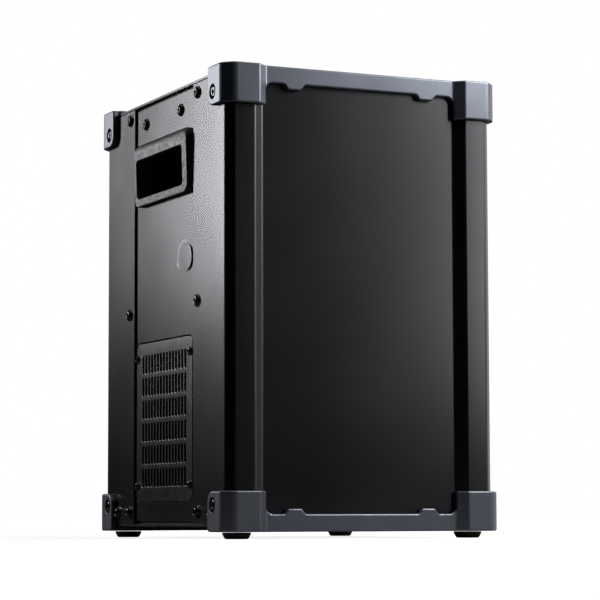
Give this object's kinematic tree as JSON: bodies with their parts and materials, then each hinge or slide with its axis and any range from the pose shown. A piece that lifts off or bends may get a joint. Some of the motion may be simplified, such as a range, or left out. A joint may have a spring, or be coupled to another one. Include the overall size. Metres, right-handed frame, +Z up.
{
  "type": "cold spark machine",
  "caption": "Free-standing stage spark fountain machine with sheet-metal body, corner bumpers, side handle cups, fan grilles, top nozzle, filler cap and control panel",
  "frame": {"origin": "on the floor plane under the middle of the machine", "axes": "+Z up, +X to the machine's right as seen from its front, +Y towards its rear; the front faces -Y"},
  "size_m": [0.2008, 0.233, 0.3122],
  "materials": {
    "shell": "fine textured black powder coat",
    "bumper": "satin blue-grey metallic coat on a casting",
    "rubber": "matt moulded rubber",
    "moulded_black": "grained black moulded plastic",
    "spark_steel": "turned stainless steel",
    "cast_aluminium": "machined aluminium",
    "zinc_sheet": "zinc-plated sheet",
    "supply_case": "plain aluminium case",
    "ceramic": "fibrous ceramic insulation",
    "board": "green laminate",
    "display": "dark clear window",
    "white_plastic": "satin white moulded plastic",
    "blue_plastic": "satin blue moulded plastic"
  },
  "bodies": {
    "root": {"front_cover": "shell", "rear_cover": "shell", "left_side_panel": "shell", "right_side_panel": "shell", "top_plate": "shell", "base_plate": "shell", "top_front_bumper": "bumper", "top_rear_bumper": "bumper", "bottom_front_bumper": "bumper", "bottom_rear_bumper": "bumper", "foot_front_left": "rubber", "foot_front_right": "rubber", "foot_rear_left": "rubber", "foot_rear_right": "rubber", "left_handle_cup": "moulded_black", "right_handle_cup": "moulded_black", "left_grille": "moulded_black", "right_grille": "moulded_black", "left_fan_frame": "moulded_black", "right_fan_frame": "moulded_black", "drain_tube": "rubber", "outlet_ring": "spark_steel", "spark_nozzle": "spark_steel", "heater_tube": "spark_steel", "heater_jacket": "ceramic", "blower_housing": "moulded_black", "blower_cover": "moulded_black", "blower_motor": "zinc_sheet", "hopper": "zinc_sheet", "filler_neck": "cast_aluminium", "feed_housing": "cast_aluminium", "feed_motor": "zinc_sheet", "control_panel": "moulded_black", "display_window": "display", "display_board": "board", "power_inlet": "blue_plastic", "power_outlet": "white_plastic", "signal_inlet": "moulded_black", "signal_outlet": "moulded_black", "power_switch_frame": "moulded_black", "fuse_holder": "moulded_black", "equipment_deck": "zinc_sheet", "power_supply": "supply_case", "heater_driver": "cast_aluminium"},
    "drain_plug": {"drain_plug": "shell"},
    "filler_seal": {"filler_seal": "rubber"},
    "filler_cap": {"filler_cap": "moulded_black"},
    "button_1": {"button_1": "white_plastic"},
    "button_2": {"button_2": "white_plastic"},
    "button_3": {"button_3": "white_plastic"},
    "button_4": {"button_4": "white_plastic"},
    "switch_rocker": {"power_switch_rocker": "moulded_black"},
    "signal_latch": {"signal_latch": "cast_aluminium"},
    "fuse_cap": {"fuse_cap": "moulded_black"},
    "feed_rotor": {"feed_rotor": "white_plastic"},
    "blower_wheel": {"blower_wheel": "moulded_black"},
    "left_fan_rotor": {"left_fan_rotor": "moulded_black"},
    "right_fan_rotor": {"right_fan_rotor": "moulded_black"}
  },
  "joints": [
    {"name": "drain_turn", "type": "hinge", "parent": "root", "child": "drain_plug", "pos_m": [-0.0944, -0.0416, 0.1856], "axis": [-1, 0, 0], "range_deg": [0, 90]},
    {"name": "cap_rise", "type": "slide", "parent": "root", "child": "filler_seal", "axis": [0, 0, 1], "range_m": [0, 0.008]},
    {"name": "cap_turn", "type": "hinge", "parent": "filler_seal", "child": "filler_cap", "pos_m": [-0.045, 0.036, 0.3078], "axis": [0, 0, 1], "range_deg": [0, 359]},
    {"name": "button_1_press", "type": "slide", "parent": "root", "child": "button_1", "axis": [0, 0, -1], "range_m": [0, 0.001], "stiffness_N_per_m": 300, "springref_m": -0.0005},
    {"name": "button_2_press", "type": "slide", "parent": "root", "child": "button_2", "axis": [0, 0, -1], "range_m": [0, 0.001], "stiffness_N_per_m": 300, "springref_m": -0.0005},
    {"name": "button_3_press", "type": "slide", "parent": "root", "child": "button_3", "axis": [0, 0, -1], "range_m": [0, 0.001], "stiffness_N_per_m": 300, "springref_m": -0.0005},
    {"name": "button_4_press", "type": "slide", "parent": "root", "child": "button_4", "axis": [0, 0, -1], "range_m": [0, 0.001], "stiffness_N_per_m": 300, "springref_m": -0.0005},
    {"name": "switch_tip", "type": "hinge", "parent": "root", "child": "switch_rocker", "pos_m": [-0.026, 0.1074, 0.055], "axis": [1, 0, 0], "range_deg": [-18, 0]},
    {"name": "latch_push", "type": "slide", "parent": "root", "child": "signal_latch", "axis": [0, -1, 0], "range_m": [0, 0.0022], "stiffness_N_per_m": 400, "springref_m": -0.0005},
    {"name": "fuse_turn", "type": "hinge", "parent": "root", "child": "fuse_cap", "pos_m": [-0.054, 0.1109, 0.055], "axis": [0, 1, 0], "range_deg": [0, 60]},
    {"name": "feed_spin", "type": "hinge", "parent": "root", "child": "feed_rotor", "pos_m": [0, -0.016, 0.208], "axis": [1, 0, 0], "continuous": true},
    {"name": "blower_spin", "type": "hinge", "parent": "root", "child": "blower_wheel", "pos_m": [-0.028, -0.058, 0.07], "axis": [0, 1, 0], "continuous": true},
    {"name": "left_fan_spin", "type": "hinge", "parent": "root", "child": "left_fan_rotor", "pos_m": [-0.0762, 0.0015, 0.0792], "axis": [1, 0, 0], "continuous": true},
    {"name": "right_fan_spin", "type": "hinge", "parent": "root", "child": "right_fan_rotor", "pos_m": [0.0762, 0.0015, 0.0792], "axis": [1, 0, 0], "continuous": true}
  ],
  "couplings": [
    {"joint": "cap_rise", "follows": "cap_turn", "m_per_rad": 0.00127}
  ]
}
